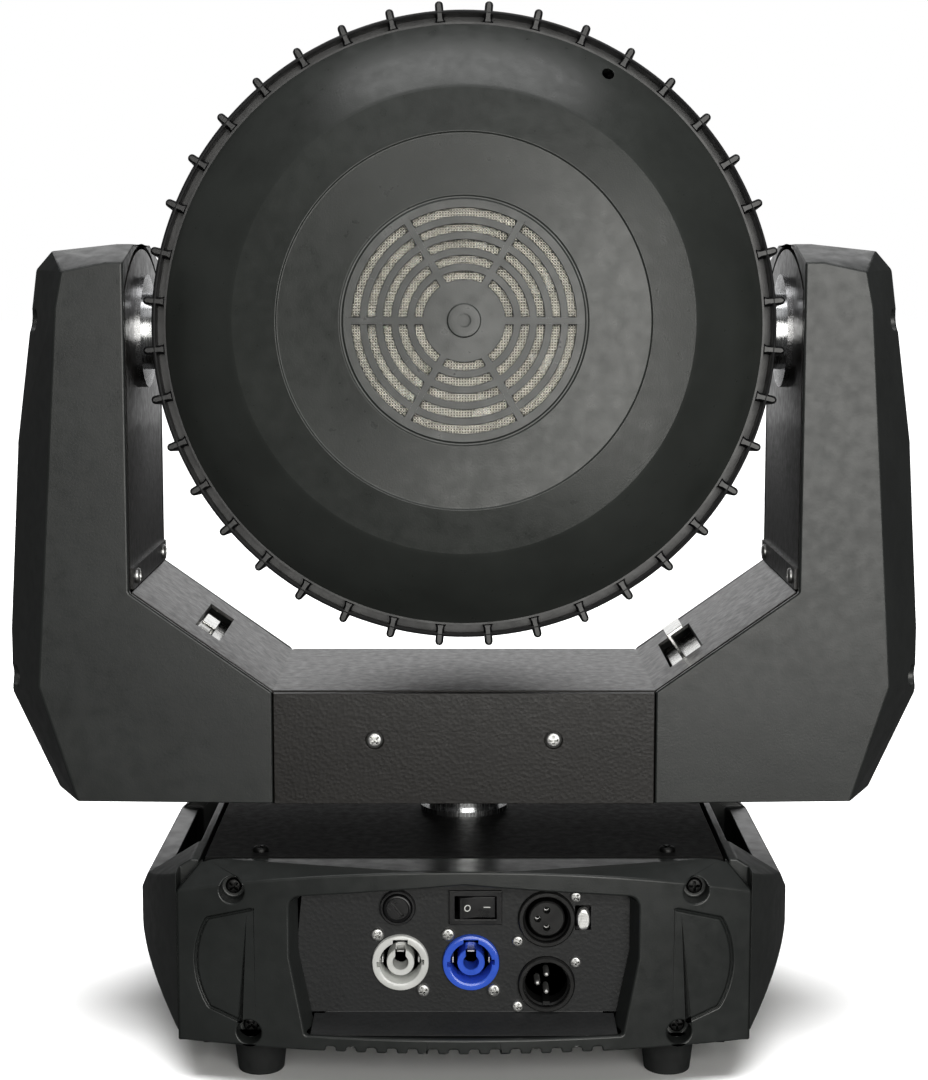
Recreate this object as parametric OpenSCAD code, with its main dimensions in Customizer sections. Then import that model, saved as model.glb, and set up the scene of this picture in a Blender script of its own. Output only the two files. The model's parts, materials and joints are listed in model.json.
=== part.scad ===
// Moving head wash light: a base with connectors and display, a yoke that pans on it,
// and a round head that tilts in the yoke. Millimetres, +Z up, origin on the floor under
// the pan axis. The connector side faces -Y and the light leaves towards +Y.

/* [Base] */
// Half the depth of the base at the middle of its bowed ends
base_half_depth = 115; // [112:1:118]
// Half the width across the carrying handles
base_half_width = 146; // [143:1:150]
// Height of the base's top plate above the floor
base_top = 92; // [92:1:94]
// Height of the rubber feet
foot_h = 15; // [12:1:15]
// Distance of each foot from the centre line, across the width
foot_x = 86; // [80:1:88]
// Distance of each foot from the centre line, along the depth
foot_y = 84; // [78:1:84]
// Spacing of the square of clamp holes under the base
clamp_pitch = 106; // [100:1:110]
// Radius of the clamp holes
clamp_hole_r = 5; // [4:0.5:6]

/* [Yoke] */
// Height of the underside of the yoke
yoke_bottom = 107; // [107:1:110]
// Height of the top of the yoke's cross member
cross_top = 156; // [156:1:158]
// Half the depth of the yoke
yoke_half_depth = 55; // [54:1:58]
// Half the widest width across the two arms
arm_half_width = 200; // [198:1:204]
// Height of the top of the arms
arm_top = 347; // [346:1:349]

/* [Head] */
// Height of the tilt axis above the floor
tilt_z = 309; // [308:1:310]
// Tilt at rest, rear side up
tilt_rest = 4.5; // [0:0.5:8]
// Outer radius of the head over its ribs
rib_r = 137; // [136:0.5:138]
// Number of ribs round the head ring
rib_count = 40; // [30:2:48]
// Number of rings of lenses round the middle one
lens_rings = 3; // [2:1:3]
// Distance between neighbouring lenses
lens_pitch = 33; // [32.5:0.5:33.5]

/* [Connectors] */
// Radius of the round sockets in the connector panel
socket_r = 11.8; // [11:0.1:12]
// Length of the fuse cap
fuse_cap_l = 9; // [8:0.5:10]

/* [Hidden] */
$fn = 64;

fit_gap = 0.05;       // between parts that are pushed together
free_gap = 0.35;      // between parts that move past each other
sheet = 2;            // folded steel sheet
wall = 3;             // moulded plastic wall

// Base: the chassis box, and the bowed and bulged outlines of its plastic mouldings
chassis_x = 109;
chassis_y = 84;
floor_y = 95;
corner_y = 97;                       // bezel depth at its outer corners
bezel_x = 119;                       // half width of the bezels
bezel_z = 17;                        // lower edge of the bezels
bow = base_half_depth - corner_y;
bow_r = (bezel_x * bezel_x + bow * bow) / (2 * bow);
bulge = base_half_width - bezel_x;
bulge_r = (corner_y * corner_y + bulge * bulge) / (2 * bulge);
crest_rise = 2;                      // the bezel's top edge stands above the top plate
crest_drop = 13;                     // and falls from its centre to its corners
strap_t = 10;
pocket_y = 56;
recess_r = 5.2;                      // round screw recesses of the bezels
bezel_screws = [[-95.5, 82.5], [95.5, 82.5], [-89, 23], [89, 23]];
bezel_screw_y = 94;
top_screws = [[-86, -76], [86, -76], [-86, 76], [86, 76]];
groove_at = [74.5, 52];              // engraved line on each side of a bezel
groove_r = 36.6;
groove_path = concat([[87, 75.5]], [for (a = [30 : -6.2 : -32])
    groove_at + groove_r * [cos(a), sin(a)]], [[92.5, 27.5]]);

// Opening in the rear bezel round the connectors; its side walls lean in towards the panel
bay_x = 72.5;
bay_z = 23.2;
bay_knee_z = 56;                     // the sides stand upright above this and lean in below
bay_lean = 0.2;
bay_shoulder_z = 77;
bay_top = 88.3;
bay_corner_r = 5;
bay_draft = 4.3;
apron_root = [116, 10, 20];

// Connector panel
panel_y = -97;
panel_t = 1.5;
panel_x = 74;
panel_fold_z = 29;
flange_t = 1.6;
fuse_at = [-27.5, 74];
switch_at = [4.8, 74];
power_out_at = [-26.4, 50.4];
power_in_at = [2.9, 50.4];
data_out_at = [34.3, 69];
data_in_at = [34.3, 41];
power_spots = [power_out_at, power_in_at];
data_spots = [data_out_at, data_in_at];
latch_at = [49.4, 69.3];
d_hole_x = 19;
d_hole_z = 24;
pin_r = 3.7;
pin_angles = [90, 180, 270];
shroud_r = 5.7;                        // contact shroud of a power socket
shroud_in_r = 3.2;
fuse_r = 6.6;
rocker_tilt = 9;
rocker_pin_r = 1.2;

// Front display
window = [120, 46];                    // recess for the display and its buttons
window_z = 33;
display_y = 108;
display_at = [-24, 56];
button_at = [[24, 64], [24, 48], [42, 64], [42, 48]];
button_r = 4.6;

// Pan drive
pan_tube_r = 16;
pan_bearing_r = 24;
pan_pulley_r = 44;
pan_pinion_r = 11;
pan_belt_z = 124;
pan_motor_x = 127;
motor_w = 42.3;

// Yoke
cross_x = 82.5;
arm_in_x = 143;
diag_z = 199;
arm_y = 50;
cover_gap = 1.5;
cross_screws = [[-38.5, 135], [38.5, 135]];
side_screws = [[314, 180], [158, 190]];   // height, and recess floor in X
slope = [arm_in_x - cross_x, diag_z - cross_top];
slope_a = atan2(slope[1], slope[0]);
plate_arch_drop = 18;
plate_arch_r = (arm_y * arm_y + plate_arch_drop * plate_arch_drop) / (2 * plate_arch_drop);

// Tilt drive
tube_r = 17;
tilt_bearing_r = 22;
tilt_pulley_r = 29;
tilt_pinion_r = 8;
tilt_belt_x = 154;
tilt_motor_z = tilt_z - 78;

// Head, along its own axis: 0 at the tilt axis, positive towards the rear
ring_r = 133;
ring_in_r = 125;
ring_rear = 45;
ring_front = -58;
cover_r = 127;
crease_r = 96;
crease_z = 72.5;
shoulder_r = 124.1;
rim_slope = 51.2;
crease_slope = 32;
shoulder_steps = 9;
step_r = 77;
grille_r = 50.4;
face_z = 81;
cover_t = 2.5;
slot_radii = [18.6, 25, 31.4, 37.9, 44.4];
slot_w = 3.3;
rib_w = 3.2;
fan_w = 92;
fan_z0 = 44;
fan_z1 = 69;
fan_r = 43.5;
fan_hub_r = 18;
sink_z = -30;
sink_r = 118;
lens_z = -49;

// ---------------------------------------------------------------- helpers

module at_rear(spot, y) translate([spot[0], y, spot[1]]) rotate([90, 0, 0]) children();

module both_sides() {
    children();
    mirror([1, 0, 0]) children();
}

module head_place() translate([0, 0, tilt_z]) rotate([90 - tilt_rest, 0, 0]) children();

module tube(r_out, r_in, h) difference() {
    cylinder(r = r_out, h = h);
    translate([0, 0, -1]) cylinder(r = r_in, h = h + 2);
}

module along_x(x) translate([x, 0, tilt_z]) rotate([0, 90, 0]) children();

// A pan-head screw, its head on z = 0 upwards and its shank below
module screw(r = 1.9, head_r = 3.4, head_h = 2, length = 6) {
    difference() {
        cylinder(r = head_r, h = head_h, $fn = 32);
        for (a = [0, 90]) rotate([0, 0, a])
            translate([-head_r * 0.6, -0.45, head_h - 1]) cube([head_r * 1.2, 0.9, 2]);
    }
    translate([0, 0, -length]) cylinder(r = r, h = length, $fn = 32);
}

// Outline of a belt round two pulleys, the second at distance d along X
module belt_outline(r1, r2, d) hull() {
    circle(r = r1);
    translate([d, 0]) circle(r = r2);
}

module belt(r1, r2, d, width, t = 1.5) linear_extrude(height = width) difference() {
    belt_outline(r1 + free_gap + t, r2 + free_gap + t, d);
    belt_outline(r1 + free_gap, r2 + free_gap, d);
}

// A toothed pulley with two flanges
module pulley(r, width, teeth, bore, flange = 2) difference() {
    union() {
        cylinder(r = r, h = width);
        translate([0, 0, -1.2]) cylinder(r = r + flange, h = 1.2);
        translate([0, 0, width]) cylinder(r = r + flange, h = 1.2);
    }
    for (i = [0 : teeth - 1]) rotate([0, 0, i * 360 / teeth])
        translate([r + 0.2, 0, 0.6]) cylinder(r = 0.8, h = width - 1.2, $fn = 16);
    translate([0, 0, -2]) cylinder(r = bore, h = width + 4);
}

// ---------------------------------------------------------------- base

function crest_z(x) = base_top + crest_rise - crest_drop * pow(x / bezel_x, 2);
function bow_y(x, r) = base_half_depth - bow_r + sqrt(r * r - x * x);

// Solid block of a bezel: a bowed face whose top edge arches, and a level back edge
module bezel_block(t) hull() {
    for (i = [-8 : 8]) {
        x = i / 8 * (bezel_x - t);
        y = bow_y(x, bow_r - t);
        translate([x - 0.1, y - 0.2, bezel_z + t]) cube([0.2, 0.2, crest_z(x) - bezel_z - 2 * t]);
    }
    translate([-bezel_x + 10 + t, chassis_y + 1.2, bezel_z + t])
        cube([2 * (bezel_x - 10 - t), 0.2, base_top - bezel_z - 0.2 - 2 * t]);
}

module bezel_shell() difference() {
    bezel_block(0);
    bezel_block(wall);
    translate([-chassis_x - 0.3, 0, 16]) cube([2 * chassis_x + 0.6, chassis_y + 3, 80]);
    translate([-112, chassis_y - 2, 16]) cube([224, floor_y - chassis_y + 3, 4.2]);
    for (i = [-6.5 : 6.5]) translate([i * 8.45 - 2, base_half_depth - 10, 15]) cube([4, 20, 4]);
}

module at_bezel_screws(y) for (s = bezel_screws)
    translate([s[0], y, s[1]]) rotate([-90, 0, 0]) children();

// The engraved line: a thin loop drawn in X and Z, cut to a shallow depth
module bezel_grooves() difference() {
    translate([0, 140, 0]) rotate([90, 0, 0]) linear_extrude(height = 60) both_sides() polygon(concat(
        [for (p = groove_path) groove_at + 1.014 * (p - groove_at)],
        [for (i = [len(groove_path) - 1 : -1 : 0]) groove_at + 0.986 * (groove_path[i] - groove_at)]
    ));
    bezel_block(0.8);
}

// A bezel with a screw tower in each corner, and whatever else is joined to it
module bezel() difference() {
    union() {
        bezel_shell();
        intersection() {
            bezel_block(0.4);
            union() {
                at_bezel_screws(bezel_screw_y - 4) cylinder(r = recess_r + 1.8, h = 40);
                children();
            }
        }
    }
    at_bezel_screws(bezel_screw_y - 10) cylinder(r = 2, h = 40);
    at_bezel_screws(bezel_screw_y) cylinder(r = recess_r, h = 40);
    bezel_grooves();
}

// Right half of the bay's outline in X and Z, moved out by grow, from the height low, with its
// top lowered by drop
function bay_half(grow, low, drop) = concat(
    [[0, low], [bay_x + grow - bay_lean * (bay_knee_z - low), low], [bay_x + grow, bay_knee_z]],
    [for (a = [0 : 16 : 80])
        [bay_x + grow, bay_shoulder_z - drop] + bay_corner_r * [cos(a) - 1, sin(a)]],
    [[0, bay_top - drop]]
);

module bay_slab(y, grow, low, drop, t) translate([0, y, 0]) rotate([90, 0, 0])
    linear_extrude(height = t) both_sides() polygon(bay_half(grow, low, drop));

// Space of the bay, from just off the panel's face to in front of the bezel
module bay_space(grow, low, drop = 0, back = 0.5) hull() {
    bay_slab(base_half_depth + 4, grow + 1.2, low, drop, 4);
    bay_slab(-panel_y + back, grow - bay_draft, low, drop, 0.1);
}

module rear_bezel() color([0.16, 0.17, 0.17]) mirror([0, 1, 0]) difference() {
    bezel() bay_space(2.2, bay_z + 0.5, 1.5);
    bay_space(0, bay_z, 0, -0.5);
}

module front_bezel() color([0.16, 0.17, 0.17])
    difference() {
        bezel() translate([-window[0] / 2, display_y - wall, window_z]) cube([window[0], wall, window[1]]);
        translate([-window[0] / 2 + wall, display_y, window_z + wall])
            cube([window[0] - 2 * wall, 20, window[1] - 2 * wall]);
        translate([display_at[0] - 31, display_y - 8, display_at[1] - 17]) cube([62, 20, 34]);
        for (b = button_at) translate([b[0], display_y - 8, b[1]]) rotate([-90, 0, 0])
            cylinder(r = button_r + free_gap, h = 20);
    }

// Section through a handle: its outer flank from the top plate down to the floor
module handle_profile() polygon([
    [111, 17.5], [117, 17.5], [base_half_width, 50], [base_half_width, 58], [137, 77],
    [114.5, 91], [111, 91]
]);

module handle_body(trim) intersection() {
    translate([0, corner_y, 0]) rotate([90, 0, 0]) linear_extrude(height = 2 * corner_y)
        children();
    translate([base_half_width - bulge_r, 0, 0]) cylinder(r = bulge_r - trim, h = 120, $fn = 96);
}

module handle() difference() {
    handle_body(0) handle_profile();
    intersection() {
        handle_body(strap_t) polygon([
            [114, 40], [127, 40], [136, 52], [136, 58], [128, 77], [150, 77], [150, 100], [114, 100]
        ]);
        translate([0, -pocket_y, 0]) cube([200, 2 * pocket_y, 120]);
    }
    translate([114, -pocket_y, 77]) cube([50, 2 * pocket_y, 30]);
    for (s = [-1, 1]) translate([0, s > 0 ? chassis_y + 0.9 : -chassis_y - 20.9, 0])
        translate([100, 0, 10]) cube([bezel_x - 100 + 0.3, 20, 90]);
}

module handle_right() color([0.18, 0.19, 0.19]) handle();

module handle_left() color([0.18, 0.19, 0.19]) mirror([1, 0, 0]) handle();

module base_chassis() color([0.2, 0.2, 0.2]) difference() {
    union() {
        translate([-chassis_x, -floor_y, foot_h]) cube([2 * chassis_x, 2 * floor_y, sheet]);
        both_sides() translate([chassis_x - sheet, -chassis_y, foot_h])
            cube([sheet, 2 * chassis_y, base_top - foot_h - sheet]);
    }
    for (x = [-1, 1], y = [-1, 1]) {
        translate([x * clamp_pitch / 2, y * clamp_pitch / 2, 0])
            cylinder(r = clamp_hole_r, h = 30);
        translate([x * foot_x, y * foot_y, 0]) cylinder(r = 2.2, h = 30);
    }
    for (i = [-4 : 4]) translate([i * 9, -88, 0]) cube([4, 24, 40]);
}

module base_top_plate() color([0.1, 0.1, 0.1]) difference() {
    translate([-108.5, -chassis_y - 1, base_top - sheet])
        cube([217, 2 * chassis_y + 2, sheet]);
    translate([0, 0, base_top - 10]) cylinder(r = pan_tube_r + fit_gap, h = 20);
    for (s = top_screws) translate([s[0], s[1], base_top - 10]) cylinder(r = 1.95, h = 20);
}

module rubber_feet() color([0.12, 0.13, 0.13])
    for (x = [-1, 1], y = [-1, 1]) translate([x * foot_x, y * foot_y, 0]) difference() {
        cylinder(r1 = 9.6, r2 = 11.4, h = foot_h);
        translate([0, 0, -1]) cylinder(r = 4, h = 7);
    }

module base_screws() color([0.1, 0.1, 0.1]) {
    for (s = bezel_screws, side = [0, 1]) mirror([0, side, 0])
        translate([s[0], bezel_screw_y, s[1]]) rotate([-90, 0, 0]) screw(length = 8);
    for (s = top_screws) translate([s[0], s[1], base_top]) screw(length = 6);
}

// A steel loop for a safety cable under the base
module safety_eye() color([0.7, 0.7, 0.7]) difference() {
    union() {
        translate([-1.5, 58, 7.5]) rotate([0, 90, 0]) cylinder(r = 6, h = 3);
        translate([-1.5, 52, 7.5]) cube([3, 12, foot_h - 7.5]);
    }
    translate([-5, 58, 7.5]) rotate([0, 90, 0]) cylinder(r = 3.5, h = 10);
}

// ---------------------------------------------------------------- connectors

module d_holes(spot, swap) {
    dx = (swap ? d_hole_z : d_hole_x) / 2;
    dz = (swap ? d_hole_x : d_hole_z) / 2;
    flip = swap ? -1 : 1;
    for (s = [-1, 1]) translate([spot[0] - s * dx * flip, 0, spot[1] + s * dz]) children();
}

// A flat panel whose lower edge folds out into a sloping apron, as wide as the bay
module connector_panel() color([0.1, 0.1, 0.11]) difference() {
    union() {
        translate([-panel_x, panel_y, panel_fold_z]) cube([2 * panel_x, panel_t, 55.5]);
        intersection() {
            mirror([0, 1, 0]) union() {
                bay_space(-free_gap, 18);
                translate([-apron_root[0] / 2, 90, 18]) cube(apron_root);
            }
            translate([panel_x, 0, 0]) rotate([90, 0, -90]) linear_extrude(height = 2 * panel_x)
                polygon([
                    [-panel_y, panel_fold_z], [-panel_y - panel_t, panel_fold_z],
                    [-panel_y - panel_t, panel_fold_z - 1], [-panel_y + 8.5, 20.5],
                    [-panel_y + 9, 22]
                ]);
        }
    }
    for (s = power_spots) {
        at_rear(s, panel_y + 5) cylinder(r = socket_r + fit_gap, h = 10);
        d_holes(s, false) translate([0, panel_y + 5, 0]) rotate([90, 0, 0]) cylinder(r = 1.55, h = 10);
    }
    for (s = data_spots) {
        at_rear(s, panel_y + 5) cylinder(r = socket_r + fit_gap, h = 10);
        d_holes(s, true) translate([0, panel_y + 5, 0]) rotate([90, 0, 0]) cylinder(r = 1.55, h = 10);
    }
    at_rear(fuse_at, panel_y + 5) cylinder(r = fuse_r + fit_gap, h = 10);
    translate([switch_at[0] - 9.55, panel_y - 5, switch_at[1] - 6.05]) cube([19.1, 10, 12.1]);
    translate([latch_at[0] - 3.2, panel_y - 5, latch_at[1] - 5.2]) cube([6.4, 10, 10.4]);
}

// Body shared by the round sockets: a barrel through the panel, and a flange behind it
module socket_body(spot, swap, depth, cavity_r, cavity_depth) difference() {
    union() {
        at_rear(spot, panel_y + depth) cylinder(r = socket_r, h = depth + 2);
        translate([spot[0] - (swap ? 15.5 : 13), panel_y + panel_t, spot[1] - (swap ? 13 : 15.5)])
            cube([swap ? 31 : 26, flange_t, swap ? 26 : 31]);
    }
    at_rear(spot, panel_y - 2 + cavity_depth) cylinder(r = cavity_r, h = cavity_depth + 1);
    d_holes(spot, swap) translate([0, panel_y + 5, 0]) rotate([90, 0, 0]) cylinder(r = 1.55, h = 10);
}

// Locking power socket: a C-shaped contact shroud stands inside the barrel
module power_socket(spot) {
    socket_body(spot, false, 24, 8.6, 13);
    at_rear(spot, panel_y + 11.2) difference() {
        cylinder(r = shroud_r, h = 12);
        translate([0, 0, 1]) cylinder(r = shroud_in_r, h = 12);
        translate([-2.2, 0, 1]) cube([4.4, 10, 12]);
    }
}

module power_in_socket() color([0.13, 0.25, 0.85]) power_socket(power_in_at);

module power_out_socket() color([0.85, 0.85, 0.83]) power_socket(power_out_at);

module data_in_socket() color([0.08, 0.08, 0.08]) {
    socket_body(data_in_at, true, 20, 9.6, 15);
    at_rear(data_in_at, panel_y + 13.2)
        for (a = pin_angles) rotate([0, 0, a]) translate([pin_r, 0, 0]) {
            cylinder(r = 1.2, h = 10, $fn = 24);
            translate([0, 0, 10]) sphere(r = 1.2, $fn = 24);
        }
}

module data_out_socket() color([0.1, 0.1, 0.1]) difference() {
    union() {
        socket_body(data_out_at, true, 20, 9.6, 4);
        at_rear(data_out_at, panel_y + 2.5) cylinder(r = 7.8, h = 3);
    }
    at_rear(data_out_at, panel_y + 12) for (a = pin_angles) rotate([0, 0, a])
        translate([pin_r, 0, 0]) cylinder(r = 1.1, h = 20, $fn = 24);
    translate([latch_at[0] - 3.2, panel_y - 5, latch_at[1] - 5.2]) cube([6.4, 12, 10.4]);
}

// Push latch that frees the data plug: an oval thumb pad on a short stem
module data_latch() color([0.85, 0.85, 0.85]) {
    at_rear(latch_at, panel_y + 4) intersection() {
        translate([-2.8, -4.8, 0]) cube([5.6, 9.6, 7]);
        translate([3.2, 0, 0]) cylinder(r = 6, h = 7);
        translate([-3.2, 0, 0]) cylinder(r = 6, h = 7);
    }
}

module fuse_holder() color([0.07, 0.07, 0.07]) difference() {
    union() {
        at_rear(fuse_at, panel_y) cylinder(r = fuse_r + 0.9, h = 2.2);
        at_rear(fuse_at, panel_y + 22) cylinder(r = fuse_r, h = 22);
    }
    at_rear(fuse_at, panel_y + 15) cylinder(r = fuse_r - 0.7, h = 20);
}

module fuse_cap() color([0.1, 0.1, 0.1]) at_rear(fuse_at, panel_y + fuse_cap_l - 3.4) difference() {
    cylinder(r = fuse_r - 0.8, h = fuse_cap_l);
    rotate([0, 0, -50]) translate([-3.6, -0.6, fuse_cap_l - 1.2]) cube([7.2, 1.2, 3]);
}

module switch_housing() color([0.08, 0.08, 0.08]) difference() {
    union() {
        translate([switch_at[0] - 11, panel_y - 1.6, switch_at[1] - 7.2]) cube([22, 1.6, 14.4]);
        translate([switch_at[0] - 9.5, panel_y, switch_at[1] - 6]) cube([19, 17, 12]);
    }
    translate([switch_at[0] - 8.6, panel_y - 4, switch_at[1] - 4.9]) cube([17.2, 16, 9.8]);
    translate([switch_at[0], panel_y + 3.5, switch_at[1] - 5.6])
        cylinder(r = rocker_pin_r + fit_gap, h = 11.2);
}

// Rocker: two faces at a shallow angle, on a pin across its middle
module switch_rocker() color([0.12, 0.12, 0.12])
    translate([switch_at[0], panel_y + 3.5, switch_at[1] - 4.5]) rotate([0, 0, rocker_tilt]) {
        linear_extrude(height = 9) polygon([
            [-7.5, -5.2], [0, -4], [7.5, -5.2], [7.5, -1], [3, 5], [-3, 5], [-7.5, -1]
        ]);
        translate([0, 0, -0.9]) cylinder(r = rocker_pin_r, h = 10.8);
    }

module panel_screws() color([0.75, 0.75, 0.75]) {
    for (s = power_spots) d_holes(s, false)
        translate([0, panel_y, 0]) rotate([90, 0, 0]) screw(r = 1.5, head_r = 2.8, head_h = 1.6, length = 5);
    for (s = data_spots) d_holes(s, true)
        translate([0, panel_y, 0]) rotate([90, 0, 0]) screw(r = 1.5, head_r = 2.4, head_h = 1.4, length = 5);
}

// ---------------------------------------------------------------- display and electronics

module display_module() color([0.05, 0.08, 0.12]) {
    translate([display_at[0] - 30.6, display_y - 5, display_at[1] - 16.6]) cube([61.2, 4, 33.2]);
    translate([display_at[0] - 34, display_y - 9, display_at[1] - 20]) cube([68, 4, 40]);
}

module menu_button(i) color([0.2, 0.2, 0.2])
    translate([button_at[i][0], display_y - 6.5, button_at[i][1]]) rotate([-90, 0, 0]) {
        cylinder(r = button_r, h = 9);
        cylinder(r = button_r + 1.4, h = 1.6);
    }

module menu_button_1() menu_button(0);

module menu_button_2() menu_button(1);

module menu_button_3() menu_button(2);

module menu_button_4() menu_button(3);

module main_board() color([0.05, 0.3, 0.12]) {
    translate([-66, display_y - 12.6, 28]) cube([132, 1.6, 54]);
    for (b = button_at) translate([b[0] - 3, display_y - 11, b[1] - 3]) cube([6, 3, 6]);
    translate([display_at[0] - 20, display_y - 11, display_at[1] - 4]) cube([40, 2, 8]);
    translate([-40, display_y - 22.6, 40]) cube([28, 10, 20]);
}

// Switching power supply in a vented steel can, on four spacers
module power_supply() color([0.62, 0.63, 0.62]) {
    difference() {
        translate([-100, -66, 28]) cube([150, 98, 40]);
        for (i = [0 : 11], j = [0 : 6]) translate([-92 + i * 11, -56 + j * 12, 58])
            cylinder(r = 2, h = 12, $fn = 24);
    }
    for (x = [-92, 42], y = [-34, 24]) translate([x, y, foot_h + sheet])
        cylinder(r = 4, h = 28 - foot_h - sheet);
}

// ---------------------------------------------------------------- pan drive

module pan_tube() color([0.75, 0.75, 0.76]) difference() {
    union() {
        translate([0, 0, 74]) cylinder(r = pan_tube_r, h = 60);
        translate([0, 0, base_top - sheet - 5]) cylinder(r = 32, h = 5);
        translate([0, 0, base_top]) cylinder(r = 20, h = 2);
    }
    translate([0, 0, 60]) cylinder(r = pan_tube_r - 3, h = 100);
}

module pan_pulley() color([0.6, 0.6, 0.62]) translate([0, 0, pan_belt_z - 5])
    pulley(pan_pulley_r, 10, 88, pan_tube_r + fit_gap / 2);

module pan_bearing() color([0.7, 0.7, 0.72]) translate([0, 0, yoke_bottom + 0.2])
    tube(pan_bearing_r, pan_tube_r + fit_gap, 9.5);

module yoke_floor_plate() color([0.12, 0.12, 0.12]) difference() {
    union() {
        translate([-140, -51, yoke_bottom + 0.2]) cube([280, 102, sheet]);
        translate([0, 0, yoke_bottom + 0.2]) cylinder(r = 30, h = 9.5);
    }
    translate([0, 0, yoke_bottom - 1]) cylinder(r = pan_bearing_r + fit_gap, h = 30);
}

module motor(length) difference() {
    translate([-motor_w / 2, -motor_w / 2, 0]) cube([motor_w, motor_w, length]);
    for (x = [-1, 1], y = [-1, 1]) translate([x * 15.5, y * 15.5, -1])
        cylinder(r = 1.5, h = 6, $fn = 24);
    for (x = [-1, 1], y = [-1, 1]) translate([x * motor_w / 2, y * motor_w / 2, length / 2])
        rotate([0, 0, 45]) translate([-2.5, -2.5, -length]) cube([5, 5, 2 * length]);
}

module pan_motor() color([0.3, 0.3, 0.3]) translate([pan_motor_x, 0, pan_belt_z + 8]) difference() {
    motor(30);
    translate([0, 0, -1]) cylinder(r = 3, h = 20);
}

module pan_pinion() color([0.7, 0.7, 0.7]) translate([pan_motor_x, 0, pan_belt_z - 5]) {
    pulley(pan_pinion_r, 10, 22, 2.5, 1.4);
    translate([0, 0, -3]) cylinder(r = 2.5, h = 28);
}

module pan_belt() color([0.08, 0.08, 0.08]) translate([0, 0, pan_belt_z - 4.5])
    belt(pan_pulley_r, pan_pinion_r, pan_motor_x, 9);

// ---------------------------------------------------------------- yoke frame

// The bent sheet over the cross member, with its two slopes and the lock windows
module yoke_top_sheet() color([0.2, 0.19, 0.18]) difference() {
    translate([0, arm_y + 0.6, 0]) rotate([90, 0, 0]) linear_extrude(height = 2 * arm_y + 1.2)
        polygon([
            [arm_in_x - 0.4, diag_z], [cross_x, cross_top], [-cross_x, cross_top],
            [-arm_in_x + 0.4, diag_z], [-arm_in_x + 0.4, diag_z - 2.5],
            [-cross_x + 0.7, cross_top - 2], [cross_x - 0.7, cross_top - 2],
            [arm_in_x - 0.4, diag_z - 2.5]
        ]);
    translate([91, -29, 120]) cube([14, 58, 80]);
    translate([-118, -29, 120]) cube([10.4, 58, 80]);
}

module arm_plate_outline() {
    intersection() {
        translate([-arm_y, 200]) square([2 * arm_y, arm_top - 2 - 200]);
        union() {
            translate([0, arm_top - 2 - plate_arch_r]) circle(r = plate_arch_r);
            translate([-arm_y, 200]) square([2 * arm_y, 60]);
        }
    }
}

module arm_plate() difference() {
    union() {
        translate([arm_in_x, 0, 0]) rotate([90, 0, 90]) linear_extrude(height = sheet)
            arm_plate_outline();
        translate([arm_in_x - 1.4, -arm_y, 200]) cube([1.4, 2 * arm_y, 9]);
    }
    along_x(100) cylinder(r = tilt_bearing_r + fit_gap / 2, h = 100);
    for (y = [-40, 40]) translate([100, y, 204.5]) rotate([0, 90, 0])
        cylinder(r = 1.95, h = 100, $fn = 32);
}

module arm_plate_right() color([0.2, 0.19, 0.18]) arm_plate();

module arm_plate_left() color([0.2, 0.19, 0.18]) mirror([1, 0, 0]) arm_plate();

// Arm outlines in X and Z: the widest one at mid depth, and the flat face's own
function arm_mid(t) = [
    [70, yoke_bottom + t], [arm_half_width - 20 - t, yoke_bottom + t],
    [arm_half_width - t, 151], [arm_half_width - t, 179], [arm_half_width - 5 - t, 260],
    [arm_half_width - 15 - t, 336 - t], [178 - t, arm_top - 3 - t], [150, arm_top - t], [70, arm_top - t]
];
function arm_face(t) = [
    [70, yoke_bottom + t], [167 - t, yoke_bottom + 1 + t], [182.7 - t, 158],
    [176.5 - t, 230], [172 - t, 320], [169 - t, arm_top - 12 - t], [150, arm_top - 8 - t],
    [70, arm_top - 8 - t]
];

module arm_slab(points, half) translate([0, half, 0]) rotate([90, 0, 0])
    linear_extrude(height = 2 * half) polygon(points);

module arm_solid(t) hull() {
    arm_slab(arm_mid(t), 25 - t / 2);
    arm_slab(arm_face(t), yoke_half_depth - t);
}

module arm_cover() {
    inner_void = [
        [0, 90], [cross_x, 90], [cross_x, cross_top], [arm_in_x, diag_z], [arm_in_x, 400], [0, 400]
    ];
    difference() {
        arm_solid(0);
        translate([0, 80, 0]) rotate([90, 0, 0]) linear_extrude(height = 160) polygon(inner_void);
        difference() {
            arm_solid(wall);
            translate([0, -80, diag_z]) cube([arm_in_x + wall, 160, 200]);
            for (s = side_screws, y = [-28, 28]) translate([s[1] - 3, y, s[0]])
                rotate([0, 90, 0]) cylinder(r = 8, h = 40);
        }
        translate([arm_in_x - 5, 0, 0]) rotate([90, 0, 90]) linear_extrude(height = 20) {
            grown_plate_outline();
            translate([-arm_y - cover_gap, 150]) square([2 * (arm_y + cover_gap), 60]);
        }
        translate([70, -arm_y - cover_gap, 100])
            cube([arm_in_x - 70 + 1, 2 * (arm_y + cover_gap), diag_z - 100]);
        for (s = side_screws, y = [-28, 28]) translate([s[1], y, s[0]]) rotate([0, 90, 0]) {
            cylinder(r = 5, h = 40);
            translate([0, 0, -20]) cylinder(r = 1.95, h = 30);
        }
    }
}

// The arm plate's outline, grown by the gap round it
module grown_plate_outline() intersection() {
    translate([-arm_y - cover_gap, 200]) square([2 * (arm_y + cover_gap), 200]);
    union() {
        translate([0, arm_top - 2 - plate_arch_r]) circle(r = plate_arch_r + cover_gap);
        translate([-arm_y - cover_gap, 200]) square([2 * (arm_y + cover_gap), 60]);
    }
}

module arm_cover_right() color([0.2, 0.21, 0.21]) arm_cover();

module arm_cover_left() color([0.2, 0.21, 0.21]) mirror([1, 0, 0]) arm_cover();

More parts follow.
